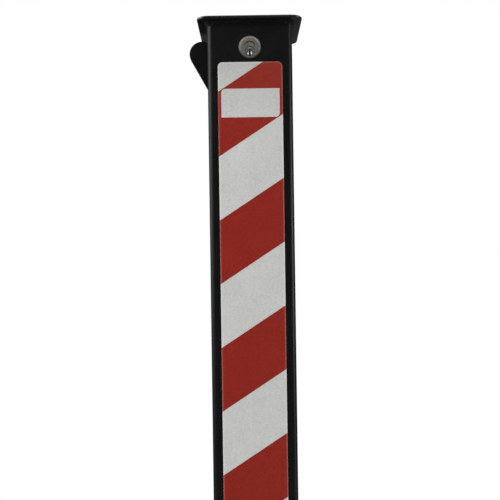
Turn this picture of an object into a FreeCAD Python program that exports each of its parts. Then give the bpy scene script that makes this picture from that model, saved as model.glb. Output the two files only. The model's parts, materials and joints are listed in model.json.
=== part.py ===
# Telescopic bollard: a square steel post that slides down into a sleeve set in the ground.
# The post is drawn raised. Z is up with the ground at zero, the front faces -Y, the side catch points to -X.
import FreeCAD
import Part
import Sketcher
import math
import os
import re

from FreeCAD import Placement, Rotation, Vector

# Driving dimensions in millimetres and degrees
DIMENSIONS = {
    # Post: box section, height of the lid's underside above ground, length that stays in the ground
    "post_side": 100.0,
    "post_wall": 4.0,
    "post_corner": 8.0,
    "lift": 690.0,
    "post_tail": 150.0,
    # Lid plate and the weld under it
    "lid_side": 123.0,
    "lid_thick": 3.0,
    "lid_corner": 14.0,
    "lid_edge": 0.8,
    "lid_seat_gap": 0.5,
    "weld_leg": 5.0,
    "weld_toe": 0.6,
    # Ground sleeve, its flange and its floor
    "sleeve_side": 120.0,
    "sleeve_wall": 5.0,
    "sleeve_corner": 12.0,
    "flange_side": 190.0,
    "flange_thick": 6.0,
    "flange_corner": 14.0,
    "floor_thick": 6.0,
    "drain_diameter": 40.0,
    "buffer_thick": 16.0,
    "buffer_gap": 1.5,
    "buffer_side_gap": 1.0,
    "buffer_opening": 70.0,
    "buffer_corner": 6.0,
    "lug_width": 40.0,
    "lug_height": 60.0,
    "lug_reach": 45.0,
    "lug_thick": 5.0,
    "lug_depth": 420.0,
    # Guide pads at the mouth of the sleeve, and the shoe round the foot of the post
    "pad_width": 16.0,
    "pad_offset": 34.0,
    "pad_length": 100.0,
    "pad_drop": 5.0,
    "running_gap": 0.8,
    "stop_gap": 0.5,
    "shoe_length": 40.0,
    # Reflective film on the front, its red print and the bare white panel in the print
    "film_width": 75.5,
    "film_length": 600.0,
    "film_thick": 0.3,
    "film_drop": 48.6,
    "film_corner": 5.5,
    "ink_thick": 0.15,
    "ink_margin": 0.3,
    "stripe_height": 75.0,
    "stripe_angle": 33.4,
    "stripe_start": 34.7,
    "panel_width": 68.5,
    "panel_height": 35.0,
    "panel_drop": 31.0,
    "panel_corner": 5.0,
    # Key lock near the top of the front face
    "lock_drop": 31.7,
    "lock_face": 26.4,
    "lock_proud": 3.0,
    "lock_bevel": 2.2,
    "lock_bevel_depth": 1.0,
    "barrel_diameter": 23.0,
    "barrel_reach": 28.0,
    "barrel_gap": 0.2,
    "recess_diameter": 13.8,
    "recess_depth": 1.0,
    "nut_flats": 32.0,
    "nut_thick": 5.0,
    "plug_offset": 4.7,
    "plug_face": 11.8,
    "plug_face_thick": 2.5,
    "plug_recess": 1.8,
    "plug_shaft": 10.0,
    "plug_fit": 0.06,
    "keyway_height": 8.5,
    "keyway_width": 2.0,
    "keyway_depth": 5.0,
    "keyway_low": 1.2,
    "tail_square": 6.0,
    # Crank on the back of the lock
    "cam_gap": 0.4,
    "cam_thick": 3.0,
    "cam_hub": 16.0,
    "cam_eye": 10.0,
    "crank_radius": 10.0,
    "crank_angle": 45.0,
    "crank_pin": 5.0,
    "crank_overrun": 0.5,
    "cam_screw_head": 9.0,
    "cam_screw_shank": 3.0,
    "cam_screw_height": 2.5,
    "cam_screw_length": 10.0,
    # Flat rod from the crank down to the bolt
    "rod_left": 2.0,
    "rod_width": 16.0,
    "rod_thick": 4.0,
    "rod_gap": 4.0,
    "rod_margin": 4.0,
    "yoke_clearance": 0.45,
    "slot_clearance": 0.3,
    "guide_high": 460.0,
    "guide_low": 120.0,
    "guide_height": 26.0,
    "guide_thick": 4.0,
    "guide_margin": 6.0,
    # Bolt, its housing in the post and its keepers on the sleeve
    "bolt_diameter": 16.0,
    "bolt_drop": 72.0,
    "bolt_fit": 0.08,
    "bolt_recess": 0.5,
    "bolt_bevel": 1.5,
    "bolt_tail": 7.0,
    "bolt_hole_gap": 0.4,
    "bolt_pin_diameter": 5.0,
    "bolt_pin_short": 1.5,
    "housing_length": 13.0,
    "housing_side": 28.0,
    "keeper_diameter": 28.0,
    "keeper_gap": 0.6,
    "keeper_depth": 5.5,
    "keeper_end": 3.0,
    # Side catch: round nose, pivot boss, and the distances that place them
    "catch_thick": 8.0,
    "nose_radius": 15.4,
    "nose_drop": 27.1,
    "nose_out": 8.5,
    "boss_radius": 10.0,
    "pivot_drop": 86.0,
    "pivot_in": 18.0,
    "slot_gap": 0.75,
    "catch_pin_diameter": 8.0,
    "catch_pin_head": 12.0,
    "catch_pin_head_thick": 2.0,
    "catch_pin_fit": 0.08,
    "bracket_thick": 3.0,
    "bracket_gap": 0.5,
    "bracket_reach": 12.0,
    "bracket_up": 12.0,
    "bracket_down": 15.0,
    "spring_thick": 1.2,
    "spring_width": 7.0,
    "spring_inset": 2.0,
    "spring_rise": 26.0,
    "spring_gap": 0.3,
    "pocket_clearance": 2.5,
    "pocket_wall": 3.0,
}

# Places and lengths that follow from the driving dimensions
TRAVEL = "(lift - lid_seat_gap)"
INSIDE = "(post_side / 2 - post_wall)"
SLEEVE_INSIDE = "(sleeve_side / 2 - sleeve_wall)"
SLEEVE_LENGTH = f"(post_tail + {TRAVEL} + buffer_gap + buffer_thick)"
SHOE_OUTSIDE = f"({SLEEVE_INSIDE} - running_gap)"
SHOE_TOP = "(-pad_drop - pad_length - stop_gap)"
FILM_TOP = "(lift - film_drop)"
LOCK_Z = "(lift - lock_drop)"
PLUG_Z = "(lift - lock_drop - plug_offset)"
LOCK_FRONT = "(-post_side / 2 - lock_proud)"
PLUG_FRONT = f"({LOCK_FRONT} + plug_recess)"
PLUG_STEP = f"({PLUG_FRONT} + plug_face_thick)"
BARREL_END = "(-post_side / 2 + barrel_reach)"
CAM_FRONT = f"({BARREL_END} + cam_gap)"
CAM_BACK = f"({CAM_FRONT} + cam_thick)"
ROD_FRONT = f"({CAM_BACK} + rod_gap)"
ROD_BACK = f"({ROD_FRONT} + rod_thick)"
ROD_MIDDLE = f"({ROD_FRONT} + rod_thick / 2)"
ROD_RIGHT = "(rod_left + rod_width)"
STROKE = "(2 * crank_radius * sin(crank_angle))"
CRANK_X = "(crank_radius * cos(crank_angle))"
CRANK_Z = f"({PLUG_Z} + crank_radius * sin(crank_angle))"
BOLT_Z = "(-bolt_drop)"
PIN_X = "(rod_left + rod_width / 2)"
FOOT_MARGIN = "(bolt_pin_diameter / 2 + slot_clearance + rod_margin)"
FOOT_RIGHT = f"({PIN_X} + {STROKE} + {FOOT_MARGIN})"
BOLT_TIP = "(post_side / 2 - bolt_recess)"
NOSE_X = "(-post_side / 2 - nose_out)"
NOSE_Z = "(lift - nose_drop)"
PIVOT_X = "(-post_side / 2 + pivot_in)"
PIVOT_Z = "(lift - pivot_drop)"
CATCH_LENGTH = "sqrt((pivot_in + nose_out)^2 + (pivot_drop - nose_drop)^2)"
SLOT_HALF = "(catch_thick / 2 + slot_gap)"
POCKET_HALF = "(catch_thick / 2 + pocket_clearance)"
POCKET_OUT = "(post_side / 2 + nose_out + nose_radius + pocket_clearance)"
CATCH_LEAN = "atan((pivot_in + nose_out) / (pivot_drop - nose_drop))"
CATCH_BACK_LEAN = f"({CATCH_LEAN} - asin((nose_radius - boss_radius) / {CATCH_LENGTH}))"
CHEEK = "(catch_thick / 2 + bracket_gap)"

doc = FreeCAD.newDocument("telescopic_bollard")
dims = doc.addObject("Spreadsheet::Sheet", "dims")
FORMULA_CELL = "D1"
TOUCH = 0.001


def fill_sheet():
    """Write each driving dimension to the sheet, with its name as the alias."""
    for row, (alias, size) in enumerate(DIMENSIONS.items(), start=1):
        dims.set(f"A{row}", alias)
        dims.set(f"B{row}", str(size))
        dims.setAlias(f"B{row}", alias)
    doc.recompute()


def number(formula):
    """Give the present value of a formula, worked out in a spare cell of the sheet."""
    dims.set(FORMULA_CELL, f"={formula}")
    dims.recompute()
    return float(dims.get(FORMULA_CELL))


def bind(thing, path, formula):
    """Tie a property to a formula of the sheet's aliases."""
    def in_sheet(word):
        return f"dims.{word.group()}" if word.group() in DIMENSIONS else word.group()
    thing.setExpression(path, re.sub(r"[a-z_]+", in_sheet, str(formula)))


def place(thing, **place_of):
    """Tie the coordinates of an object's placement to formulas."""
    for axis, formula in place_of.items():
        bind(thing, f"Placement.Base.{axis}", formula)


def mirrored(sign, near, far):
    """Give the low and high ends of a span that lies on the + or - side of the middle."""
    return (near, far) if sign > 0 else (f"-({far})", f"-({near})")


def around(middle, half):
    """Give the low and high ends of a span about its middle."""
    return f"({middle}) - ({half})", f"({middle}) + ({half})"


# Solids from primitives and booleans

def box(name, x, y, z):
    """Make a box from its low and high ends along each axis."""
    solid = doc.addObject("Part::Box", name)
    for path, axis, (low, high) in (("Length", "x", x), ("Width", "y", y), ("Height", "z", z)):
        bind(solid, path, f"({high}) - ({low})")
        place(solid, **{axis: low})
    return solid


AXIS_TURNS = {"x": Rotation(Vector(0, 1, 0), 90), "y": Rotation(Vector(1, 0, 0), -90)}


def cylinder(name, axis, radius, ends, **across):
    """Make a cylinder along X or Y between two ends, at the other two coordinates."""
    solid = doc.addObject("Part::Cylinder", name)
    solid.Placement = Placement(Vector(), AXIS_TURNS[axis])
    low, high = ends
    bind(solid, "Radius", radius)
    bind(solid, "Height", f"({high}) - ({low})")
    place(solid, **{axis: low}, **across)
    return solid


def cut(name, base, *tools):
    """Take each tool away from the base."""
    result = base
    for count, tool in enumerate(tools, start=1):
        last = count == len(tools)
        step = doc.addObject("Part::Cut", name if last else f"{name}_step_{count}")
        step.Base = result
        step.Tool = tool
        result = step
    return result


def common(name, first, second):
    """Keep what two solids share."""
    result = doc.addObject("Part::Common", name)
    result.Base = first
    result.Tool = second
    return result


def fuse(name, *solids):
    """Join solids to one."""
    result = doc.addObject("Part::MultiFuse", name)
    result.Shapes = list(solids)
    result.Refine = True
    return result


def group(name, solids):
    """Keep like pieces together as separate solids."""
    result = doc.addObject("Part::Compound", name)
    result.Links = solids
    return result


# Bodies from sketches

def body(name):
    return doc.addObject("PartDesign::Body", name)


def sketch(host, plane, **offset):
    """Add a sketch on one of the body's own planes, shifted in that plane's axes."""
    drawing = host.newObject("Sketcher::SketchObject", f"{host.Name}_sketch")
    support = next(item for item in host.Origin.OriginFeatures if item.Role == plane)
    drawing.AttachmentSupport = [(support, "")]
    drawing.MapMode = "FlatFace"
    for axis, formula in offset.items():
        bind(drawing, f"AttachmentOffset.Base.{axis}", formula)
    return drawing


def measure(drawing, kind, formula, *elements):
    """Add a dimension to a sketch and tie it to a formula."""
    index = drawing.addConstraint(Sketcher.Constraint(kind, *elements, number(formula)))
    bind(drawing, f"Constraints[{index}]", formula)


def pin_point(drawing, element, point, x, y):
    """Fix a point of a sketch element by its two coordinates."""
    measure(drawing, "DistanceX", x, -1, 1, element, point)
    measure(drawing, "DistanceY", y, -1, 1, element, point)


def polygon(drawing, corners):
    """Draw a closed outline of straight lines through corners given as formulas."""
    spots = [Vector(number(x), number(y), 0) for x, y in corners]
    lines = [Part.LineSegment(spot, spots[(i + 1) % len(spots)]) for i, spot in enumerate(spots)]
    first = drawing.addGeometry(lines)
    for i, line in enumerate(first):
        following = first[(i + 1) % len(first)]
        drawing.addConstraint(Sketcher.Constraint("Coincident", line, 2, following, 1))
        pin_point(drawing, line, 1, *corners[i])


def circle(drawing, x, y, radius):
    """Draw a circle."""
    ring = Part.Circle(Vector(number(x), number(y), 0), Vector(0, 0, 1), number(radius))
    index = drawing.addGeometry(ring)
    pin_point(drawing, index, 3, x, y)
    measure(drawing, "Radius", radius, index)


def arc(middle, radius, start, end):
    """Give an arc from its middle, radius and the two angles in degrees."""
    ring = Part.Circle(middle, Vector(0, 0, 1), radius)
    return Part.ArcOfCircle(ring, math.radians(start), math.radians(end))


def tangent_chain(drawing, pieces):
    """Add lines and arcs that run smoothly into each other, end to start, and close."""
    indices = drawing.addGeometry(pieces)
    for i, piece in enumerate(indices):
        following = indices[(i + 1) % len(indices)]
        drawing.addConstraint(Sketcher.Constraint("Tangent", piece, 2, following, 1))
    return indices


def rounded_rectangle(drawing, width, height, radius, x="0", y="0"):
    """Draw a rectangle with round corners about its middle."""
    half_w, half_h, r = number(width) / 2, number(height) / 2, number(radius)
    middle = Vector(number(x), number(y), 0)
    pieces = []
    for turn in range(4):
        across, up = (half_w, half_h) if turn % 2 == 0 else (half_h, half_w)
        quarter = Rotation(Vector(0, 0, 1), 90 * turn)
        start = middle + quarter.multVec(Vector(r - across, -up, 0))
        end = middle + quarter.multVec(Vector(across - r, -up, 0))
        corner = middle + quarter.multVec(Vector(across - r, r - up, 0))
        pieces += [Part.LineSegment(start, end), arc(corner, r, 90 * turn - 90, 90 * turn)]
    bottom, corner_arc, right, arc_2, top, arc_3, left, arc_4 = tangent_chain(drawing, pieces)
    for kind, sides in (("Horizontal", (bottom, top)), ("Vertical", (right, left))):
        for side in sides:
            drawing.addConstraint(Sketcher.Constraint(kind, side))
    for other in (arc_2, arc_3, arc_4):
        drawing.addConstraint(Sketcher.Constraint("Equal", corner_arc, other))
    measure(drawing, "Radius", radius, corner_arc)
    measure(drawing, "DistanceX", width, left, 1, right, 1)
    measure(drawing, "DistanceY", height, bottom, 1, top, 1)
    measure(drawing, "DistanceX", f"{x} + ({width}) / 2", -1, 1, right, 1)
    measure(drawing, "DistanceY", f"{y} + ({height}) / 2", -1, 1, top, 1)


def round_ended(drawing, first, second):
    """Draw the outline round two circles, each given as x, y and radius, with its two tangent lines."""
    a, b = (Vector(number(x), number(y), 0) for x, y, _ in (first, second))
    radius_a, radius_b = number(first[2]), number(second[2])
    along = b - a
    heading = math.degrees(math.atan2(along.y, along.x))
    lean = math.degrees(math.acos((radius_a - radius_b) / along.Length))
    arc_a = arc(a, radius_a, heading + lean, heading + 360 - lean)
    arc_b = arc(b, radius_b, heading - lean, heading + lean)
    line_ab = Part.LineSegment(arc_a.EndPoint, arc_b.StartPoint)
    line_ba = Part.LineSegment(arc_b.EndPoint, arc_a.StartPoint)
    end_a, _, end_b, _ = tangent_chain(drawing, [arc_a, line_ab, arc_b, line_ba])
    for index, (x, y, radius) in ((end_a, first), (end_b, second)):
        pin_point(drawing, index, 3, x, y)
        measure(drawing, "Radius", radius, index)


def pad(host, drawing, length, down=False):
    """Raise a sketch to a solid along its plane's normal, or against it."""
    feature = host.newObject("PartDesign::Pad", f"{host.Name}_pad")
    feature.Profile = drawing
    feature.Reversed = down
    bind(feature, "Length", length)
    return host


def turned(name, axis, profile, **middle):
    """Turn a profile of (place along the axis, radius) round an axis along X or Y."""
    host = body(name)
    if axis == "y":
        drawing = sketch(host, "YZ_Plane", y=middle["z"], z=middle["x"])
    else:
        drawing = sketch(host, "XZ_Plane", y=middle["z"], z=f"-({middle['y']})")
    polygon(drawing, profile)
    feature = host.newObject("PartDesign::Revolution", f"{name}_turn")
    feature.Profile = drawing
    feature.ReferenceAxis = (drawing, ["H_Axis"])
    feature.Angle = 360
    return host


def softened(host, kind, path, size, chosen):
    """Give a fillet or a chamfer to the edges of a body that the test picks out."""
    doc.recompute()
    base = host.Tip
    edges = [f"Edge{i}" for i, edge in enumerate(base.Shape.Edges, start=1) if chosen(edge)]
    feature = host.newObject(f"PartDesign::{kind}", f"{host.Name}_{kind.lower()}")
    feature.Base = (base, edges)
    bind(feature, path, size)
    return host


def tube(name, side, wall, corner, length, z, down=False):
    """Make a length of square box section."""
    host = body(name)
    drawing = sketch(host, "XY_Plane", z=z)
    rounded_rectangle(drawing, side, side, corner)
    inside = f"({side} - 2 * ({wall}))"
    rounded_rectangle(drawing, inside, inside, f"{corner} - ({wall})")
    return pad(host, drawing, length, down)


def plate(name, side, corner, thick, z, hole=None, down=False):
    """Make a square plate with round corners, with a hole that another function draws."""
    host = body(name)
    drawing = sketch(host, "XY_Plane", z=z)
    rounded_rectangle(drawing, side, side, corner)
    if hole:
        hole(drawing)
    return pad(host, drawing, thick, down)


# Ground pieces

def sleeve_tube():
    wall = tube("sleeve_wall_tube", "sleeve_side", "sleeve_wall", "sleeve_corner", SLEEVE_LENGTH, "0",
                down=True)
    slot = box("sleeve_catch_slot", mirrored(-1, SLEEVE_INSIDE, "sleeve_side / 2"),
               around("0", POCKET_HALF), ("-pivot_drop", "0"))
    holes = [cylinder(f"sleeve_bolt_hole_{place_name}", "x", "bolt_diameter / 2 + keeper_gap",
                      (SLEEVE_INSIDE, "sleeve_side / 2"), y=ROD_MIDDLE, z=z)
             for place_name, z in keeper_heights()]
    return cut("sleeve_tube", wall, slot, *holes)


def keeper_heights():
    """Give the two heights at which the bolt can be shot: post raised and post lowered."""
    return ("raised", BOLT_Z), ("lowered", f"({BOLT_Z} - {TRAVEL})")


def ground_flange():
    def mouth(drawing):
        rounded_rectangle(drawing, "sleeve_side", "sleeve_side", "sleeve_corner")
    flange = plate("flange_plate", "flange_side", "flange_corner", "flange_thick", "0", mouth, down=True)
    notch = box("flange_catch_notch", mirrored(-1, "sleeve_side / 2 - sleeve_wall", POCKET_OUT),
                around("0", POCKET_HALF), ("-flange_thick", "0"))
    return cut("ground_flange", flange, notch)


def sleeve_floor():
    def drain(drawing):
        circle(drawing, "0", "0", "drain_diameter / 2")
    return plate("sleeve_floor", "sleeve_side", "sleeve_corner", "floor_thick", f"-{SLEEVE_LENGTH}", drain,
                 down=True)


def rubber_buffer():
    def opening(drawing):
        rounded_rectangle(drawing, "buffer_opening", "buffer_opening", "buffer_corner")
    side = f"2 * ({SLEEVE_INSIDE} - buffer_side_gap)"
    return plate("rubber_buffer", side, "buffer_corner", "buffer_thick", f"-{SLEEVE_LENGTH}", opening)


def on_each_wall():
    """Give the four walls of a box section as the axis that they face and its sign."""
    return [(axis, sign) for axis in "xy" for sign in (1, -1)]


def wall_box(name, wall, depth, along, z):
    """Make a box on one wall: depth is measured outwards, along runs across the wall."""
    axis, sign = wall
    outwards = mirrored(sign, *depth)
    x, y = (outwards, along) if axis == "x" else (along, outwards)
    return box(name, x, y, z)


def anchor_lugs():
    lugs = []
    half = around("0", "lug_width / 2")
    for count, wall in enumerate(on_each_wall(), start=1):
        upright = wall_box(f"lug_upright_{count}", wall, ("sleeve_side / 2", "sleeve_side / 2 + lug_thick"),
                           half, ("-lug_depth", "-lug_depth + lug_height"))
        tongue = wall_box(f"lug_tongue_{count}", wall, ("sleeve_side / 2", "sleeve_side / 2 + lug_reach"),
                          half, ("-lug_depth", "-lug_depth + lug_thick"))
        lugs.append(fuse(f"anchor_lug_{count}", upright, tongue))
    return group("anchor_lugs", lugs)


def mouth_guide_pads():
    pads = []
    depth = ("post_side / 2 + running_gap", SLEEVE_INSIDE)
    height = ("-pad_drop - pad_length", "-pad_drop")
    for wall in on_each_wall():
        for side in (1, -1):
            along = mirrored(side, "pad_offset - pad_width / 2", "pad_offset + pad_width / 2")
            pads.append(wall_box(f"guide_pad_{len(pads) + 1}", wall, depth, along, height))
    return group("mouth_guide_pads", pads)


def bolt_keepers():
    """Blind cups welded over the two bolt holes, so that no soil enters there."""
    near = "(sleeve_side / 2)"
    bottom = f"({near} + keeper_depth)"
    far = f"({bottom} + keeper_end)"
    hole = "(bolt_diameter / 2 + keeper_gap)"
    profile = [(near, hole), (bottom, hole), (bottom, "0"), (far, "0"),
               (far, "keeper_diameter / 2"), (near, "keeper_diameter / 2")]
    cups = [turned(f"bolt_keeper_{place_name}", "x", profile, y=ROD_MIDDLE, z=z)
            for place_name, z in keeper_heights()]
    return group("bolt_keepers", cups)


def catch_pocket():
    """A box welded outside the sleeve, which the side catch enters as the post goes down."""
    outer = box("pocket_outside", mirrored(-1, "sleeve_side / 2", f"{POCKET_OUT} + pocket_wall"),
                around("0", f"{POCKET_HALF} + pocket_wall"), ("-pivot_drop - pocket_wall", "-flange_thick"))
    inner = box("pocket_inside", mirrored(-1, "sleeve_side / 2", POCKET_OUT),
                around("0", POCKET_HALF), ("-pivot_drop", "-flange_thick"))
    return cut("catch_pocket", outer, inner)


# The post and what is fixed to it

def post_tube():
    wall = tube("post_wall_tube", "post_side", "post_wall", "post_corner", "post_tail + lift", "-post_tail")
    lock_hole = cylinder("post_lock_hole", "y", "barrel_diameter / 2 + barrel_gap",
                         ("-post_side / 2", f"-{INSIDE}"), x="0", z=LOCK_Z)
    slot = box("post_catch_slot", mirrored(-1, INSIDE, "post_side / 2"), around("0", SLOT_HALF),
               (PIVOT_Z, f"{PIVOT_Z} + {CATCH_LENGTH} + nose_radius"))
    bolt_hole = cylinder("post_bolt_hole", "x", "bolt_diameter / 2 + bolt_hole_gap",
                         (INSIDE, "post_side / 2"), y=ROD_MIDDLE, z=BOLT_Z)
    return cut("post_tube", wall, lock_hole, slot, bolt_hole)


def foot_shoe():
    """A ring round the foot of the post, which slides in the sleeve and stops under the guide pads."""
    wall = f"({SHOE_OUTSIDE} - post_side / 2)"
    return tube("foot_shoe", f"2 * {SHOE_OUTSIDE}", wall, f"post_corner + {wall}", "shoe_length", SHOE_TOP,
                down=True)


def lid_plate():
    lid = plate("lid_plate", "lid_side", "lid_corner", "lid_thick", "lift")
    top = number("lift + lid_thick")
    return softened(lid, "Chamfer", "Size", "lid_edge", lambda edge: edge.BoundBox.ZMin > top - TOUCH)


def lid_weld():
    """A fillet weld round the post, under the lid."""
    host = body("weld_outside")
    rims = []
    for z, spread in (("lift", "weld_leg"), ("lift - weld_leg", "weld_toe")):
        rim = sketch(host, "XY_Plane", z=z)
        side = f"(post_side + 2 * {spread})"
        rounded_rectangle(rim, side, side, f"post_corner + {spread}")
        rims.append(rim)
    loft = host.newObject("PartDesign::AdditiveLoft", "weld_slope")
    loft.Profile = rims[0]
    loft.Sections = rims[1:]
    loft.Ruled = True
    core = plate("weld_inside", "post_side", "post_corner", "weld_leg", "lift", down=True)
    return cut("lid_weld", host, core)


def front_sheet(name, width, height, corner, thick, behind):
    """Make a thin sheet with round corners on the front face, about the film's middle."""
    host = body(name)
    drawing = sketch(host, "XZ_Plane", z=f"post_side / 2 + {behind}")
    rounded_rectangle(drawing, width, height, corner, y=f"{FILM_TOP} - film_length / 2")
    return pad(host, drawing, thick)


def white_film():
    return front_sheet("white_film", "film_width", "film_length", "film_corner", "film_thick", "0")


def red_stripes():
    """The red print: slanted stripes cut to the film's outline, round a bare panel in the first one."""
    layer = front_sheet("ink_layer", "film_width - 2 * ink_margin", "film_length - 2 * ink_margin",
                        "film_corner - ink_margin", "ink_thick", "film_thick")
    host = body("ink_stripes")
    drawing = sketch(host, "XZ_Plane", z="post_side / 2 + film_thick")
    rise = "film_width * tan(stripe_angle)"
    stripes = math.ceil(number(f"(film_length - stripe_start + {rise}) / (2 * stripe_height)"))
    for count in range(stripes):
        top = f"({FILM_TOP} - stripe_start - {2 * count} * stripe_height)"
        polygon(drawing, [("-film_width / 2", top), ("-film_width / 2", f"{top} - stripe_height"),
                          ("film_width / 2", f"{top} - stripe_height + {rise}"),
                          ("film_width / 2", f"{top} + {rise}")])
    pad(host, drawing, "ink_thick")
    return cut("red_stripes", common("ink_on_film", layer, host), bare_panel())


def bare_panel():
    """The white panel's outline: two opposite corners round, two square."""
    host = body("bare_panel")
    drawing = sketch(host, "XZ_Plane", z="post_side / 2 + film_thick")
    left, right = around("0", "panel_width / 2")
    top = f"({FILM_TOP} - panel_drop)"
    bottom = f"({top} - panel_height)"
    polygon(drawing, [(left, top), (left, bottom), (right, bottom), (right, top)])
    pad(host, drawing, "ink_thick")
    middle = number(f"{top} - panel_height / 2")

    def round_corner(edge):
        spot = edge.CenterOfMass
        return edge.BoundBox.YLength > 0.9 * edge.Length and spot.x * (spot.z - middle) < 0
    return softened(host, "Fillet", "Radius", "panel_corner", round_corner)


# Key lock

def lock_body():
    """Turned lock case: bevelled face with a sunk middle, barrel, and an off-centre bore for the plug."""
    face = LOCK_FRONT
    sunk = f"({face} + recess_depth)"
    profile = [(sunk, "0"), (sunk, "recess_diameter / 2"), (face, "recess_diameter / 2"),
               (face, "lock_face / 2 - lock_bevel"), (f"{face} + lock_bevel_depth", "lock_face / 2"),
               ("-post_side / 2", "lock_face / 2"), ("-post_side / 2", "barrel_diameter / 2"),
               (BARREL_END, "barrel_diameter / 2"), (BARREL_END, "0")]
    case = turned("lock_case", "y", profile, x="0", z=LOCK_Z)
    face_bore = cylinder("lock_face_bore", "y", "plug_face / 2 + plug_fit",
                         (face, f"{PLUG_STEP} + plug_fit"), x="0", z=PLUG_Z)
    bore = cylinder("lock_bore", "y", "plug_shaft / 2 + plug_fit", (face, BARREL_END), x="0", z=PLUG_Z)
    return cut("lock_body", case, face_bore, bore)


def lock_nut():
    """Hexagon nut that clamps the lock to the front wall."""
    hexagon = doc.addObject("Part::Prism", "lock_nut_hexagon")
    hexagon.Polygon = 6
    hexagon.Placement = Placement(Vector(), AXIS_TURNS["y"])
    bind(hexagon, "Circumradius", "nut_flats / 2 / cos(30)")
    bind(hexagon, "Height", "nut_thick")
    place(hexagon, x="0", y=f"-{INSIDE}", z=LOCK_Z)
    bore = cylinder("lock_nut_bore", "y", "barrel_diameter / 2", (f"-{INSIDE}", f"-{INSIDE} + nut_thick"),
                    x="0", z=LOCK_Z)
    return cut("lock_nut", hexagon, bore)


def tail_box(name):
    """The square end of the plug, which drives the crank."""
    half = "tail_square / 2"
    return box(name, around("0", half), (CAM_FRONT, CAM_BACK), around(PLUG_Z, half))


def cam_screw():
    """Pan head screw that holds the crank on the plug."""
    back = f"({CAM_BACK} + cam_screw_height)"
    tip = f"({CAM_BACK} - cam_screw_length)"
    profile = [(tip, "0"), (tip, "cam_screw_shank / 2"), (CAM_BACK, "cam_screw_shank / 2"),
               (CAM_BACK, "cam_screw_head / 2"), (back, "(cam_screw_head - cam_screw_height) / 2"),
               (back, "0")]
    return turned("cam_screw", "y", profile, x="0", z=PLUG_Z)


def lock_plug():
    """Key plug: round face with an upright keyway, shaft, and a square end for the crank."""
    profile = [(PLUG_FRONT, "0"), (PLUG_FRONT, "plug_face / 2"), (PLUG_STEP, "plug_face / 2"),
               (PLUG_STEP, "plug_shaft / 2"), (CAM_FRONT, "plug_shaft / 2"), (CAM_FRONT, "0")]
    shaft = turned("plug_shaft_turned", "y", profile, x="0", z=PLUG_Z)
    keyway = box("plug_keyway", around("0", "keyway_width / 2"), (PLUG_FRONT, f"{PLUG_FRONT} + keyway_depth"),
                 around(f"{PLUG_Z} - keyway_low", "keyway_height / 2"))
    whole = fuse("plug_with_tail", shaft, tail_box("plug_tail"))
    return cut("lock_plug", whole, keyway, doc.getObject("cam_screw"))


def lock_cam():
    """Crank on the plug's square end, with the pin that works the rod."""
    host = body("cam_arm")
    drawing = sketch(host, "XZ_Plane", z=f"-{CAM_BACK}")
    round_ended(drawing, ("0", PLUG_Z, "cam_hub / 2"), (CRANK_X, CRANK_Z, "cam_eye / 2"))
    pad(host, drawing, "cam_thick")
    crank = cylinder("cam_crank_pin", "y", "crank_pin / 2", (CAM_FRONT, f"{ROD_BACK} + crank_overrun"),
                     x=CRANK_X, z=CRANK_Z)
    return cut("lock_cam", fuse("cam_with_pin", host, crank), tail_box("cam_square_hole"))


# Rod and bolt

def lock_rod():
    """Flat rod: a cross slot for the crank at the top, a slanted slot for the bolt's pin in the foot."""
    host = body("lock_rod")
    drawing = sketch(host, "XZ_Plane", z=f"-{ROD_BACK}")
    yoke = "(crank_pin / 2 + yoke_clearance)"
    top = f"({CRANK_Z} + {yoke} + rod_margin)"
    foot_low = f"({BOLT_Z} - {FOOT_MARGIN})"
    foot_high = f"({BOLT_Z} + {STROKE} + {FOOT_MARGIN})"
    polygon(drawing, [("rod_left", top), ("rod_left", foot_low), (FOOT_RIGHT, foot_low),
                      (FOOT_RIGHT, foot_high), (ROD_RIGHT, f"{foot_high} + {FOOT_RIGHT} - {ROD_RIGHT}"),
                      (ROD_RIGHT, top)])
    round_ended(drawing, (CRANK_X, CRANK_Z, yoke), ("crank_radius", CRANK_Z, yoke))
    slot = "(bolt_pin_diameter / 2 + slot_clearance)"
    round_ended(drawing, (PIN_X, BOLT_Z, slot), (f"{PIN_X} + {STROKE}", f"{BOLT_Z} + {STROKE}", slot))
    return pad(host, drawing, "rod_thick")


def rod_guides():
    """Two angle brackets on the front wall that the rod slides in."""
    guides = []
    wide = ("rod_left - guide_margin", f"{ROD_RIGHT} + guide_margin")
    deep = (f"-{INSIDE}", f"{ROD_BACK} + guide_margin")
    window_wide = ("rod_left - slot_clearance", f"{ROD_RIGHT} + slot_clearance")
    window_deep = (f"{ROD_FRONT} - slot_clearance", f"{ROD_BACK} + slot_clearance")
    for name in ("guide_high", "guide_low"):
        level = (name, f"{name} + guide_thick")
        shelf = box(f"{name}_shelf", wide, deep, level)
        upright = box(f"{name}_upright", wide, (f"-{INSIDE}", f"-{INSIDE} + guide_thick"),
                      (name, f"{name} + guide_height"))
        window = box(f"{name}_window", window_wide, window_deep, level)
        guides.append(cut(f"rod_{name}", fuse(f"{name}_angle", shelf, upright), window))
    return group("rod_guides", guides)


def bolt_pin():
    """Cross pin that the slanted slot drives."""
    half = "(bolt_diameter / 2 - bolt_pin_short)"
    return cylinder("bolt_pin", "y", "bolt_pin_diameter / 2", around(ROD_MIDDLE, half), x=PIN_X, z=BOLT_Z)


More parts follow.
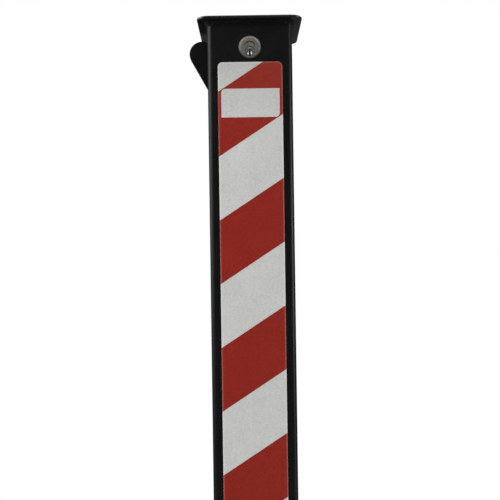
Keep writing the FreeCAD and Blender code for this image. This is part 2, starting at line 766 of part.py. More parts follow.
def lock_bolt():
    """Round bolt with a bevelled tip, forked at its tail over the rod's foot."""
    tail = f"({PIN_X} - bolt_tail)"
    profile = [(tail, "0"), (tail, "bolt_diameter / 2"), (f"{BOLT_TIP} - bolt_bevel", "bolt_diameter / 2"),
               (BOLT_TIP, "bolt_diameter / 2 - bolt_bevel"), (BOLT_TIP, "0")]
    bar = turned("bolt_bar", "x", profile, y=ROD_MIDDLE, z=BOLT_Z)
    fork = box("bolt_fork", (tail, f"{FOOT_RIGHT} + slot_clearance"),
               around(ROD_MIDDLE, "rod_thick / 2 + slot_clearance"), around(BOLT_Z, "bolt_diameter / 2"))
    return cut("lock_bolt", bar, fork, doc.getObject("bolt_pin"))


def bolt_housing():
    """Block welded inside the right-hand wall, with the bolt's bore."""
    ends = (f"{INSIDE} - housing_length", INSIDE)
    half = "housing_side / 2"
    block = box("housing_block", ends, around(ROD_MIDDLE, half), around(BOLT_Z, half))
    bore = cylinder("housing_bore", "x", "bolt_diameter / 2 + bolt_fit", ends, y=ROD_MIDDLE, z=BOLT_Z)
    return cut("bolt_housing", block, bore)


# Side catch

def side_catch():
    """Flat catch: a round nose outside the post and a pivot boss inside, joined by tangent edges."""
    host = body("catch_blade")
    drawing = sketch(host, "XZ_Plane", z="-catch_thick / 2")
    round_ended(drawing, (NOSE_X, NOSE_Z, "nose_radius"), (PIVOT_X, PIVOT_Z, "boss_radius"))
    pad(host, drawing, "catch_thick")
    hole = cylinder("catch_pivot_hole", "y", "catch_pin_diameter / 2 + catch_pin_fit",
                    around("0", "catch_thick / 2"), x=PIVOT_X, z=PIVOT_Z)
    return cut("side_catch", host, hole)


def catch_pin():
    """Pivot pin with a flat head."""
    head = f"(-{CHEEK} - bracket_thick)"
    end = f"({CHEEK} + bracket_thick)"
    top = f"({head} - catch_pin_head_thick)"
    profile = [(top, "0"), (top, "catch_pin_head / 2"), (head, "catch_pin_head / 2"),
               (head, "catch_pin_diameter / 2"), (end, "catch_pin_diameter / 2"), (end, "0")]
    return turned("catch_pin", "y", profile, x=PIVOT_X, z=PIVOT_Z)


def catch_bracket():
    """Two cheeks on a floor, welded inside the left wall, that carry the catch's pin."""
    reach = (f"-{INSIDE}", f"{PIVOT_X} + bracket_reach")
    low, high = f"{PIVOT_Z} - bracket_down", f"{PIVOT_Z} + bracket_up"
    outside = f"{CHEEK} + bracket_thick"
    cheeks = [box(f"bracket_cheek_{side}", reach, mirrored(sign, CHEEK, outside), (low, high))
              for side, sign in (("front", -1), ("back", 1))]
    floor = box("bracket_floor", reach, around("0", outside), (low, f"{low} + bracket_thick"))
    return cut("catch_bracket", fuse("bracket_frame", *cheeks, floor), doc.getObject("catch_pin"))


def catch_spring():
    """Bent leaf spring: fixed under the bracket, its upright follows the catch's back and pushes it out."""
    def behind(height):
        return (f"({PIVOT_X} + (boss_radius + spring_gap - {height} * sin({CATCH_BACK_LEAN}))"
                f" / cos({CATCH_BACK_LEAN}))")

    host = body("catch_spring")
    drawing = sketch(host, "XZ_Plane", z="-spring_width / 2")
    left = f"(-{INSIDE} + spring_inset)"
    top = f"({PIVOT_Z} - bracket_down)"
    bend = behind("(-bracket_down)")
    tip_x = behind("spring_rise")
    tip_z = f"({PIVOT_Z} + spring_rise)"
    polygon(drawing, [(left, top), (left, f"{top} - spring_thick"),
                      (f"{bend} + spring_thick", f"{top} - spring_thick"),
                      (f"{tip_x} + spring_thick", tip_z), (tip_x, tip_z), (bend, top)])
    return pad(host, drawing, "spring_width")


SUB_PARTS = (
    sleeve_tube, ground_flange, sleeve_floor, anchor_lugs, mouth_guide_pads, rubber_buffer, bolt_keepers,
    catch_pocket, foot_shoe, post_tube, lid_plate, lid_weld, white_film, red_stripes, lock_body,
    lock_nut, cam_screw, lock_plug, lock_cam, lock_rod, rod_guides, bolt_pin, lock_bolt, bolt_housing,
    side_catch, catch_pin, catch_bracket, catch_spring,
)


def check(sub_parts):
    """Stop before anything is written if an object failed or a sub-part has no sound shape."""
    for item in doc.Objects:
        if {"Invalid", "Error"} & set(item.State):
            raise RuntimeError(f"{item.Name} failed: {item.State}")
    for item in sub_parts:
        if item.Shape.isNull() or not item.Shape.isValid():
            raise RuntimeError(f"{item.Label} has no valid shape")


def main():
    fill_sheet()
    sub_parts = [make() for make in SUB_PARTS]
    doc.recompute()
    check(sub_parts)
    os.makedirs("parts", exist_ok=True)
    for item in sub_parts:
        item.Shape.exportStep(f"parts/{item.Label}.step")
        print(item.Label, len(item.Shape.Solids), round(item.Shape.Volume, 1))


main()
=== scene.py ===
# %% [markdown]
# # A telescopic bollard
# This is a square steel post, painted black, that stands at the end of a drive and slides down into a
# sleeve in the ground. Its shapes come from a CAD model. The lesson gives each of them a finish, models
# anew the few small forms that catch the light, and then sets up a plain studio and the camera.

# %% Load the CAD model
import bmesh
import bpy
import json
import math
from mathutils import Matrix, Vector, noise


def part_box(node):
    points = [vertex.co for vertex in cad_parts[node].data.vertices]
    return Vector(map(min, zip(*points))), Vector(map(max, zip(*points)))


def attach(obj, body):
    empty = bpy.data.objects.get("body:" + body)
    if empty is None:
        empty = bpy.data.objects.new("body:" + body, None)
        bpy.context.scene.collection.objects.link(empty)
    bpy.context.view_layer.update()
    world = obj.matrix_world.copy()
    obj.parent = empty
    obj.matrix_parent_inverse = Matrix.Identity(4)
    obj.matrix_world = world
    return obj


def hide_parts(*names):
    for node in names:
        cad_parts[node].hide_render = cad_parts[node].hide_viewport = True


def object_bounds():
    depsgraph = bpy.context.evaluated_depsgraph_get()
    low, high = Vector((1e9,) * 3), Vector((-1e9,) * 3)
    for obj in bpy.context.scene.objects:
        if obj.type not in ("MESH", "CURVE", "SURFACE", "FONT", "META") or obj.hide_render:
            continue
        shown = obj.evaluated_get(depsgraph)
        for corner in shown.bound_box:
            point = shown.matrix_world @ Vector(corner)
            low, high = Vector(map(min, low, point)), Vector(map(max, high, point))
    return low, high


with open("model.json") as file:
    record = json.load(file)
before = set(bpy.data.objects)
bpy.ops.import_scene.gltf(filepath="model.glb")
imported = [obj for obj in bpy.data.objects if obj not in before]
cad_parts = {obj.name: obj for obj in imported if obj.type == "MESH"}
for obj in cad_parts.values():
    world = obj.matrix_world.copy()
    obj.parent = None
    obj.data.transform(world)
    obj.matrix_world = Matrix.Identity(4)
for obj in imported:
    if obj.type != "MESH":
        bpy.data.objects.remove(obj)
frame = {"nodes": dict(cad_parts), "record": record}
cad_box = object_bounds()
MM = 0.001
print("CAD nodes:", len(frame["nodes"]), "box:", [[round(c, 4) for c in corner] for corner in cad_box])

# %% [markdown]
# ## Helpers for finishes
# A finish is a material built from nodes. Every pattern here is read in Object coordinates, so it stays on
# the piece when the post moves. The helpers below each add one small group of nodes: a place to read the
# pattern at, a noise, a blend of two colours, a range of roughness and a bump.

# %% Start a finish and read the surface's place
def new_finish(name, **plain):
    """Make a material whose Principled shader has these plain values."""
    finish = bpy.data.materials.new(name)
    finish.use_nodes = True
    shader = finish.node_tree.nodes["Principled BSDF"]
    for socket, value in plain.items():
        shader.inputs[socket.replace("_", " ")].default_value = value
    return finish, finish.node_tree, shader


def place_on_piece(tree, centre=(0, 0, 0), stretch=(1, 1, 1)):
    """Object coordinates about a centre, stretched along the axes."""
    here = tree.nodes.new("ShaderNodeTexCoord")
    shift = tree.nodes.new("ShaderNodeMapping")
    shift.vector_type = "TEXTURE"
    shift.inputs["Location"].default_value = centre
    shift.inputs["Scale"].default_value = stretch
    tree.links.new(here.outputs["Object"], shift.inputs["Vector"])
    return shift.outputs["Vector"]


def axes_on_piece(tree, centre=(0, 0, 0)):
    """The same coordinates about a centre, one by one: X, Y and Z."""
    split = tree.nodes.new("ShaderNodeSeparateXYZ")
    tree.links.new(place_on_piece(tree, centre), split.inputs["Vector"])
    return split.outputs


# %% Noise and cells
def speckle(tree, size, detail=2.0, stretch=(1, 1, 1)):
    """Soft noise whose blobs are about this many metres across."""
    texture = tree.nodes.new("ShaderNodeTexNoise")
    texture.inputs["Scale"].default_value = 1 / size
    texture.inputs["Detail"].default_value = detail
    tree.links.new(place_on_piece(tree, stretch=stretch), texture.inputs["Vector"])
    return texture.outputs["Fac"]


def cells(tree, size, output="Distance"):
    """Cells about this many metres across."""
    texture = tree.nodes.new("ShaderNodeTexVoronoi")
    texture.inputs["Scale"].default_value = 1 / size
    tree.links.new(place_on_piece(tree), texture.inputs["Vector"])
    return texture.outputs[output]


def spread(tree, factor, low, high, start=0.3, end=0.7):
    """Stretch the middle of a pattern to a range of values."""
    stretch = tree.nodes.new("ShaderNodeMapRange")
    for socket, value in (("From Min", start), ("From Max", end), ("To Min", low), ("To Max", high)):
        stretch.inputs[socket].default_value = value
    tree.links.new(factor, stretch.inputs["Value"])
    return stretch.outputs["Result"]


# %% Colours, bump and arithmetic
def blend_colours(tree, factor, first, second):
    """Go from one colour to another as a pattern goes from 0 to 1; a node may give a colour too."""
    mix = tree.nodes.new("ShaderNodeMix")
    mix.data_type = "RGBA"
    tree.links.new(factor, mix.inputs["Factor"])
    for socket, colour in ((mix.inputs[6], first), (mix.inputs[7], second)):
        if isinstance(colour, bpy.types.NodeSocket):
            tree.links.new(colour, socket)
        else:
            socket.default_value = (*colour, 1)
    return mix.outputs[2]


def raise_surface(tree, shader, height, depth, strength=1.0):
    """Bump the surface by a pattern, as deep as this many metres."""
    bump = tree.nodes.new("ShaderNodeBump")
    bump.inputs["Distance"].default_value = depth
    bump.inputs["Strength"].default_value = strength
    tree.links.new(height, bump.inputs["Height"])
    tree.links.new(bump.outputs["Normal"], shader.inputs["Normal"])


def arithmetic(tree, operation, *values):
    """One step of arithmetic on patterns and numbers."""
    step = tree.nodes.new("ShaderNodeMath")
    step.operation = operation
    for socket, value in zip(step.inputs, values):
        if isinstance(value, bpy.types.NodeSocket):
            tree.links.new(value, socket)
        else:
            socket.default_value = value
    return step.outputs["Value"]


def distance(tree, *axes):
    """How far a place is from the centre, by its coordinates along two axes."""
    squares = [arithmetic(tree, "POWER", axis, 2.0) for axis in axes]
    return arithmetic(tree, "SQRT", arithmetic(tree, "ADD", *squares))


# %% [markdown]
# ## Black paint
# The post, its lid and the side catch have one coat of semi-gloss black. Paint on steel is never quite even:
# it dries with a faint orange peel, its gloss comes and goes in clouds, and a little dust greys it. The black
# is so deep that the eye mostly reads its reflections, so the roughness matters more than the colour. One
# function makes four kinds: the plain coat, a thick glossy one where paint gathers on an edge, a thin dry one
# in the corner under the lid, and the plain coat with a dull patch where the spray hardly reached. The last
# one is mixed from lighter blacks, which is painted fill light on the lid's underside. Both of the last two
# also get a lighter, bluish black at the front and on the left, which is painted fill light in the shaded
# corner under the lid.

# %% Black paint
BLACKS = ((0.0025, 0.0029, 0.0028), (0.0041, 0.0046, 0.0044))
# Lighter blacks for the lid's underside: painted fill light.
FILL_LIT_BLACKS = ((0.0058, 0.0062, 0.0060), (0.0080, 0.0084, 0.0081))
DUST_CLOUD = 60 * MM
GLOSS_CLOUD = 18 * MM
GLOSS_DRIFT = 0.05
PEEL_SIZE = 1.6 * MM
PEEL_DEPTH = 0.03 * MM


def make_black_paint(name, blacks, rough, **plain):
    """Paint that drifts between two blacks, with this roughness on average."""
    finish, tree, shader = new_finish(name, **plain)
    dust = spread(tree, speckle(tree, DUST_CLOUD, detail=4), 0, 1)
    tree.links.new(blend_colours(tree, dust, *blacks), shader.inputs["Base Color"])
    gloss = spread(tree, speckle(tree, GLOSS_CLOUD, detail=3), rough - GLOSS_DRIFT, rough + GLOSS_DRIFT)
    tree.links.new(gloss, shader.inputs["Roughness"])
    raise_surface(tree, shader, speckle(tree, PEEL_SIZE, detail=1), PEEL_DEPTH, strength=0.35)
    return finish


BLACK_PAINT = make_black_paint("black paint", BLACKS, 0.29, Specular_IOR_Level=0.45)
THICK_PAINT = make_black_paint("thick paint", BLACKS, 0.18, IOR=2.1)
DRY_PAINT = make_black_paint("dry paint", BLACKS, 0.42, Specular_IOR_Level=0.25)
PATCHY_PAINT = make_black_paint("patchy paint", FILL_LIT_BLACKS, 0.29)
print("paints:", [paint.name for paint in (BLACK_PAINT, THICK_PAINT, DRY_PAINT, PATCHY_PAINT)])

# %% Dull places and painted fill light on the paint
PATCH_SIDE = (-46 * MM, -42 * MM)
PATCH_BACK = (2 * MM, 16 * MM)
PATCH_SHINE = 0.42
SHINE_LEFT = 0.02
# A lighter, bluish black laid where the corner under the lid is in shade: painted fill light.
FILL_LIGHT_BLACK = (0.0118, 0.0126, 0.0134)
FILL_FRONT = (-52 * MM, -47 * MM)
FILL_SIDE = (-52 * MM, -48 * MM)


def dull_left_front(finish):
    """Take most of the shine off the paint left of the post, as far back as its middle."""
    tree = finish.node_tree
    axes = axes_on_piece(tree)
    left = spread(tree, axes["X"], 1, 0, *PATCH_SIDE)
    front = spread(tree, axes["Y"], 1, 0, *PATCH_BACK)
    dull = arithmetic(tree, "MULTIPLY", left, front)
    shine = spread(tree, dull, PATCH_SHINE, SHINE_LEFT * PATCH_SHINE, 0, 1)
    tree.links.new(shine, tree.nodes["Principled BSDF"].inputs["Specular IOR Level"])


def paint_fill_light(finish, axis, limits, amount):
    """Paint fill light on the paint as a lighter bluish black: this amount before the first limit along an
    axis, and none past the second.
    """
    tree = finish.node_tree
    fill_amount = spread(tree, axes_on_piece(tree)[axis], amount, 0, *limits)
    colour = tree.nodes["Principled BSDF"].inputs["Base Color"]
    tree.links.new(blend_colours(tree, fill_amount, colour.links[0].from_socket, FILL_LIGHT_BLACK), colour)


dull_left_front(PATCHY_PAINT)
# Painted fill light under the lid's front overhang and on the left of the weld.
paint_fill_light(PATCHY_PAINT, "Y", FILL_FRONT, 0.5)
paint_fill_light(DRY_PAINT, "X", FILL_SIDE, 1.0)
print("painted fill light in", PATCHY_PAINT.name, "and", DRY_PAINT.name)

# %% [markdown]
# ## Reflective film
# The film is a plastic sheet full of tiny glass beads, which give it a fine grain. White and red are the same
# sheet with and without ink, so one function makes both. Along its cut edge the sheet gets a painted
# highlight, a paler rim: the distance to a rounded outline, worked out from the coordinates, finds that rim.
# Towards its top, below the lid, the white gets painted shade and the red a paler tone, a hair more on the
# right half.

# %% Find the film's rim and its shaded top
FILM_LOW, FILM_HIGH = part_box("white_film")
FILM_CORNER = 5.5 * MM
RIM_WIDTH = 1.6 * MM
RIM_SOLID = 0.6 * RIM_WIDTH
# Painted shade on the white towards the film's top, under the lid; the red turns paler there.
TOP_TONE_LENGTH = 91 * MM
TOP_TONE_EDGE = 15 * MM
TOP_TONE_RIGHT = (-4 * MM, -2 * MM)
TONE_ALONG, TONE_AT_EDGE, TONE_ON_RIGHT = 0.14, 0.05, 0.02


# The paler rim of the film is a painted highlight.
def painted_rim_highlight(tree):
    """1 on the film's outer rim and 0 inside it."""
    half = (FILM_HIGH - FILM_LOW) / 2
    axes = axes_on_piece(tree, (FILM_LOW + FILM_HIGH) / 2)
    beyond = []
    for axis, reach in (("X", half.x), ("Z", half.z)):
        away = arithmetic(tree, "ABSOLUTE", axes[axis])
        past_corner = arithmetic(tree, "SUBTRACT", away, reach - FILM_CORNER)
        beyond.append(arithmetic(tree, "MAXIMUM", past_corner, 0.0))
    return spread(tree, distance(tree, *beyond), 0, 1, FILM_CORNER - RIM_WIDTH, FILM_CORNER - RIM_SOLID)


def painted_top_tone(tree):
    """How far the film's top tone reaches: most at its top edge, and a little on its right half. On the white
    it is painted shade.
    """
    axes = axes_on_piece(tree, (0, 0, FILM_HIGH.z))
    wide = spread(tree, axes["Z"], 0, TONE_ALONG, -TOP_TONE_LENGTH, 0)
    narrow = spread(tree, axes["Z"], 0, TONE_AT_EDGE, -TOP_TONE_EDGE, 0)
    right = spread(tree, axes["X"], 0, TONE_ON_RIGHT, *TOP_TONE_RIGHT)
    return arithmetic(tree, "ADD", arithmetic(tree, "ADD", wide, narrow), right)


# %% White film and red print
GRAIN_SIZE = 1.5 * MM
CLOUD_SIZE = 30 * MM
GRAIN_SHARE = 0.7
BEAD_SIZE = 0.5 * MM
BEAD_DEPTH = 0.02 * MM


def make_film(name, pale, deep, rim, top_tone):
    """Film that drifts between a pale and a deep tone, has a paler one on its rim as a painted highlight, and
    shifts towards a last one at its top, which is painted shade on the white.
    """
    finish, tree, shader = new_finish(name, Specular_IOR_Level=0.25)
    grain = spread(tree, speckle(tree, GRAIN_SIZE, detail=3), 0, 1, 0.36, 0.64)
    cloud = spread(tree, speckle(tree, CLOUD_SIZE, detail=3), 0, 1)
    cloud = arithmetic(tree, "MULTIPLY", cloud, 1 - GRAIN_SHARE)
    mottle = arithmetic(tree, "MULTIPLY_ADD", grain, GRAIN_SHARE, cloud)
    colour = blend_colours(tree, mottle, deep, pale)
    # A paler tone on the rim: painted highlight.
    colour = blend_colours(tree, painted_rim_highlight(tree), colour, rim)
    # Towards the top: painted shade on the white, a paler red on the print.
    colour = blend_colours(tree, painted_top_tone(tree), colour, top_tone)
    tree.links.new(colour, shader.inputs["Base Color"])
    tree.links.new(spread(tree, grain, 0.36, 0.46), shader.inputs["Roughness"])
    raise_surface(tree, shader, cells(tree, BEAD_SIZE), BEAD_DEPTH, strength=0.4)
    return finish


WHITE_FILM = make_film("white film", pale=(0.520, 0.520, 0.505), deep=(0.424, 0.424, 0.412),
                       rim=(0.56, 0.56, 0.545), top_tone=(0, 0, 0))
RED_PRINT = make_film("red print", pale=(0.245, 0.0150, 0.0085), deep=(0.195, 0.0100, 0.0050),
                      rim=(0.32, 0.055, 0.042), top_tone=(0.19, 0.052, 0.034))
print("film", round((FILM_HIGH - FILM_LOW).x, 4), "m wide:", WHITE_FILM.name, "and", RED_PRINT.name)

# %% [markdown]
# ## Metals
# The lock is dull nickel, turned on a lathe, so fine rings run round its middle. It is tarnished towards its
# top, and painted shade darkens a ring in its face, mostly in the upper half, and its outer rim. The parts
# inside are plated with zinc and lightly brushed. The sleeve in the ground is dipped in molten zinc, which
# sets in flat crystals, the spangle: cells give every crystal its own grey. Its edges get a painted
# highlight, a paler grey.

# %% Painted shade and lathe rings of the lock
LOCK_RADIUS = (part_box("lock_body")[1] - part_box("lock_body")[0]).x / 2
LATHE_SCALE = 700
LATHE_WOBBLE = 1.5
RING_INSETS = (1.1 * MM, 0.7 * MM)
RING_FADE = 0.2 * MM
RING_TOP = (1 * MM, 3 * MM)
# Painted shade: a dark ring where the face's recess is in shadow, and a darker outer rim.
RING_SHADE = 0.9
RIM_INSETS = (1.6 * MM, 0.3 * MM)
RIM_SHADE = 0.8


def lathe_rings(tree, middle):
    """Fine rings round an axis along Y."""
    rings = tree.nodes.new("ShaderNodeTexWave")
    rings.wave_type = "RINGS"
    rings.rings_direction = "Y"
    rings.inputs["Scale"].default_value = LATHE_SCALE
    rings.inputs["Distortion"].default_value = LATHE_WOBBLE
    tree.links.new(place_on_piece(tree, middle), rings.inputs["Vector"])
    return rings.outputs["Fac"]


def painted_lock_shade(tree, axes, ring_radius, low_shade):
    """Painted shade in a ring, less in its lower half, and on the outer rim of the lock's face."""
    reach = distance(tree, axes["X"], axes["Z"])
    inner = spread(tree, reach, 0, 1, *(ring_radius - inset for inset in RING_INSETS))
    outer = spread(tree, reach, 1, 0, ring_radius, ring_radius + RING_FADE)
    upper = spread(tree, axes["Z"], low_shade, RING_SHADE, *RING_TOP)
    ring = arithmetic(tree, "MULTIPLY", arithmetic(tree, "MULTIPLY", inner, outer), upper)
    rim = spread(tree, reach, 0, RIM_SHADE, *(LOCK_RADIUS - inset for inset in RIM_INSETS))
    return arithmetic(tree, "MAXIMUM", ring, rim)


# %% Nickel of the lock
DULL_NICKEL = (0.47, 0.46, 0.41)
BRIGHT_NICKEL = (0.70, 0.69, 0.63)
WARM_NICKEL = (0.66, 0.50, 0.45)
WARM_TOP = (3 * MM, 12 * MM)
WARM_AMOUNT = 0.8
# The colour of the painted shade in the lock's ring and on its rim.
LOCK_SHADE_COLOUR = (0.14, 0.13, 0.11)
TARNISH_SIZE = 3.5 * MM
HANDLED_SIZE = 2 * MM
TURNED_DEPTH = 0.02 * MM


def make_nickel(name, node, rough, ring_radius, low_shade):
    """Turned nickel about the middle of a node's box, warm towards its top and with painted shade in its
    corners.
    """
    finish, tree, shader = new_finish(name, Metallic=1.0)
    middle = (node[0] + node[1]) / 2
    axes = axes_on_piece(tree, middle)
    tarnish = spread(tree, speckle(tree, TARNISH_SIZE, detail=5), 0, 1, 0.36, 0.64)
    colour = blend_colours(tree, tarnish, DULL_NICKEL, BRIGHT_NICKEL)
    colour = blend_colours(tree, spread(tree, axes["Z"], 0, WARM_AMOUNT, *WARM_TOP), colour, WARM_NICKEL)
    # Painted shade in the ring and on the rim.
    shade_amount = painted_lock_shade(tree, axes, ring_radius, low_shade)
    tree.links.new(blend_colours(tree, shade_amount, colour, LOCK_SHADE_COLOUR), shader.inputs["Base Color"])
    gloss = spread(tree, speckle(tree, HANDLED_SIZE), rough - GLOSS_DRIFT, rough + GLOSS_DRIFT)
    tree.links.new(gloss, shader.inputs["Roughness"])
    raise_surface(tree, shader, lathe_rings(tree, middle), TURNED_DEPTH, strength=0.5)
    return finish


NICKEL_BODY = make_nickel("lock nickel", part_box("lock_body"), 0.45, ring_radius=6.9 * MM, low_shade=0)
NICKEL_PLUG = make_nickel("plug nickel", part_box("lock_plug"), 0.42, ring_radius=5.9 * MM, low_shade=0.5)
print("lock face", round(2 * LOCK_RADIUS, 4), "m across:", NICKEL_BODY.name, "and", NICKEL_PLUG.name)

# %% Zinc plate, spring steel and polished nickel
BRUSH_SIZE = 0.6 * MM
BRUSH_DEPTH = 0.02 * MM
STAIN_SIZE = 22 * MM


def make_plated(name, dark, light, rough, stretch):
    """Brushed metal: noise drawn out along one axis."""
    finish, tree, shader = new_finish(name, Metallic=1.0)
    brush = speckle(tree, BRUSH_SIZE, detail=3, stretch=stretch)
    stain = spread(tree, speckle(tree, STAIN_SIZE, detail=4), 0, 1)
    tree.links.new(blend_colours(tree, stain, dark, light), shader.inputs["Base Color"])
    tree.links.new(spread(tree, brush, rough - 0.06, rough + 0.08), shader.inputs["Roughness"])
    raise_surface(tree, shader, brush, BRUSH_DEPTH, strength=0.35)
    return finish


ZINC_PLATE = make_plated("zinc plate", (0.42, 0.42, 0.40), (0.56, 0.56, 0.53), 0.34, (1, 1, 12))
SPRING_STEEL = make_plated("spring steel", (0.20, 0.20, 0.21), (0.32, 0.32, 0.33), 0.30, (8, 1, 1))
POLISHED_NICKEL = make_plated("polished nickel", (0.80, 0.79, 0.75), (0.90, 0.89, 0.86), 0.10, (1, 1, 1))
print("plated:", [metal.name for metal in (ZINC_PLATE, SPRING_STEEL, POLISHED_NICKEL)])

# %% Galvanised steel
SPANGLE_SIZE = 9 * MM
SPANGLE_GREYS = ((0.30, 0.31, 0.32), (0.46, 0.47, 0.48))
BLOOM_SIZE = 30 * MM
BLOOM_GREY = (0.52, 0.53, 0.52)
# Painted highlight: a paler grey along the sleeve's edges.
EDGE_HIGHLIGHT_WIDTH = 2.5 * MM
EDGE_HIGHLIGHT_GREY = (0.64, 0.65, 0.64)
EDGE_HIGHLIGHT_AMOUNT = 0.8
DIP_SIZE = 3 * MM
DIP_DEPTH = 0.08 * MM


def edges_of_piece(tree, width):
    """1 along a piece's own edges: there a rounded normal turns away from the flat one."""
    rounded = tree.nodes.new("ShaderNodeBevel")
    rounded.inputs["Radius"].default_value = width
    flat = tree.nodes.new("ShaderNodeNewGeometry")
    turned = tree.nodes.new("ShaderNodeVectorMath")
    turned.operation = "DOT_PRODUCT"
    tree.links.new(rounded.outputs["Normal"], turned.inputs[0])
    tree.links.new(flat.outputs["Normal"], turned.inputs[1])
    return spread(tree, turned.outputs["Value"], 1, 0, 0.85, 0.99)


def make_galvanised():
    """Zinc crystals in two greys, a pale bloom over them and a painted highlight along the edges."""
    finish, tree, shader = new_finish("galvanised steel", Metallic=0.45)
    crystal = tree.nodes.new("ShaderNodeSeparateColor")
    tree.links.new(cells(tree, SPANGLE_SIZE, "Color"), crystal.inputs["Color"])
    grey = blend_colours(tree, crystal.outputs["Red"], *SPANGLE_GREYS)
    bloom = spread(tree, speckle(tree, BLOOM_SIZE, detail=5), 0, 0.55, 0.45, 0.75)
    grey = blend_colours(tree, bloom, grey, BLOOM_GREY)
    # The painted highlight along the edges.
    edge_highlight = arithmetic(tree, "MULTIPLY", edges_of_piece(tree, EDGE_HIGHLIGHT_WIDTH), EDGE_HIGHLIGHT_AMOUNT)
    tree.links.new(blend_colours(tree, edge_highlight, grey, EDGE_HIGHLIGHT_GREY), shader.inputs["Base Color"])
    tree.links.new(spread(tree, crystal.outputs["Green"], 0.34, 0.55, 0, 1), shader.inputs["Roughness"])
    raise_surface(tree, shader, speckle(tree, DIP_SIZE, detail=3), DIP_DEPTH, strength=0.3)
    return finish


GALVANISED = make_galvanised()
print("spangle about", SPANGLE_SIZE, "m across:", GALVANISED.name)

# %% [markdown]
# ## Nylon, rubber and painted keyway shade
# The guide pads and the shoe are moulded nylon with a fine spark-eroded grain; the buffer is rubber, duller,
# with a bloom of grey where the mould released it. The inside of the keyway gets the same look, only near
# black, as painted shade, so the same function makes it.

# %% Nylon, rubber and painted keyway shade
MOTTLE_SIZE = 25 * MM
SHEEN_SIZE = 8 * MM
SHEEN_DRIFT = 0.07
MOULD_DEPTH = 0.05 * MM


def make_moulded(name, dark, light, rough, grain_size):
    """A dull plastic skin with a fine grain, mottled between two tones."""
    finish, tree, shader = new_finish(name)
    bloom = spread(tree, speckle(tree, MOTTLE_SIZE, detail=5), 0, 1)
    tree.links.new(blend_colours(tree, bloom, dark, light), shader.inputs["Base Color"])
    sheen = spread(tree, speckle(tree, SHEEN_SIZE), rough - SHEEN_DRIFT, rough + SHEEN_DRIFT)
    tree.links.new(sheen, shader.inputs["Roughness"])
    raise_surface(tree, shader, cells(tree, grain_size), MOULD_DEPTH, strength=0.4)
    return finish


BLACK_NYLON = make_moulded("black nylon", (0.014, 0.014, 0.015), (0.024, 0.024, 0.025), 0.5, 0.7 * MM)
BUFFER_RUBBER = make_moulded("buffer rubber", (0.012, 0.012, 0.012), (0.030, 0.030, 0.029), 0.7, 1.2 * MM)
# Near black for the inside of the keyway: painted shade.
KEYWAY_SHADE = make_moulded("keyway painted shade", (0.004, 0.004, 0.003), (0.010, 0.009, 0.007), 0.6, 0.4 * MM)
print("dull:", [skin.name for skin in (BLACK_NYLON, BUFFER_RUBBER, KEYWAY_SHADE)])

# %% [markdown]
# ## Finishes on the CAD model
# The record that comes with the CAD model says which finish each piece has. One loop can therefore dress
# all of them, also those inside the post, which show only when someone takes the model apart.

# %% Put the finishes on the CAD nodes
FINISHES = {
    "black_paint": BLACK_PAINT,
    "white_film": WHITE_FILM,
    "red_print": RED_PRINT,
    "lock_metal": NICKEL_BODY,
    "zinc_steel": ZINC_PLATE,
    "spring_steel": SPRING_STEEL,
    "galvanised": GALVANISED,
    "nylon": BLACK_NYLON,
    "rubber": BUFFER_RUBBER,
}
for row in frame["record"]["subparts"]:
    for place in frame["nodes"][row["node"]].material_slots:
        place.material = FINISHES[row["material_slot"]]
print("finishes:", ", ".join(sorted(FINISHES)))

# %% [markdown]
# ## Turning a bmesh into a piece
# Each new piece is shaped in a bmesh, then becomes an object that rides on one of the CAD model's bodies
# and may stand for a CAD node. Its faces are shaded smooth, except across edges that are really sharp.

# %% Finish a piece
SHARP = math.radians(35)


def finish_piece(name, build, finishes, body, stands_for):
    """Make the object; its faces' material indices count through the finishes."""
    for face in build.faces:
        face.smooth = True
    for edge in build.edges:
        edge.smooth = edge.calc_face_angle(0.0) < SHARP
    mesh = bpy.data.meshes.new(name)
    build.to_mesh(mesh)
    build.free()
    piece = bpy.data.objects.new(name, mesh)
    bpy.context.scene.collection.objects.link(piece)
    for finish in finishes:
        mesh.materials.append(finish)
    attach(piece, body)
    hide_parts(*stands_for)
    print(name, len(mesh.polygons), "faces")


# %% [markdown]
# ## The lid
# A thin plate with round corners, cut from sheet and painted. A real cut edge is never knife sharp: its
# rims are dressed, and the paint rounds them further. A cube scaled to the plate's size gets round corners
# from one bevel and soft rims from a second one, which is quicker to change than a drawn outline. Paint
# draws together on the narrow edge and dries thicker there, so the edge has the glossy finish; the
# underside is patchy.

# %% Model the lid
LID_LOW, LID_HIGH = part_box("lid_plate")
LID_CORNER = 14 * MM
LID_RIM = 0.9 * MM
CLOSE = 0.01 * MM
STEEP = 0.5


def is_upright(edge):
    """Whether an edge's two ends are at different heights."""
    return abs(edge.verts[0].co.z - edge.verts[1].co.z) > CLOSE


def model_lid():
    """Bevel a cube twice; then the narrow edge is finish 1 and the underside finish 2."""
    build = bmesh.new()
    bmesh.ops.create_cube(build, size=1.0)
    bmesh.ops.scale(build, vec=LID_HIGH - LID_LOW, verts=build.verts)
    bmesh.ops.translate(build, vec=(LID_LOW + LID_HIGH) / 2, verts=build.verts)
    upright = [edge for edge in build.edges if is_upright(edge)]
    bmesh.ops.bevel(build, geom=upright, offset=LID_CORNER, offset_type="OFFSET", affect="EDGES",
                    segments=14, profile=0.5, material=-1)
    rims = [edge for edge in build.edges if not is_upright(edge)]
    bmesh.ops.bevel(build, geom=rims, offset=LID_RIM, offset_type="OFFSET", affect="EDGES",
                    segments=4, profile=0.5, material=-1)
    build.normal_update()
    for face in build.faces:
        face.material_index = 1 if abs(face.normal.z) < STEEP else 2 if face.normal.z < 0 else 0
    finish_piece("lid", build, (BLACK_PAINT, THICK_PAINT, PATCHY_PAINT), "post", ["lid_plate"])


model_lid()

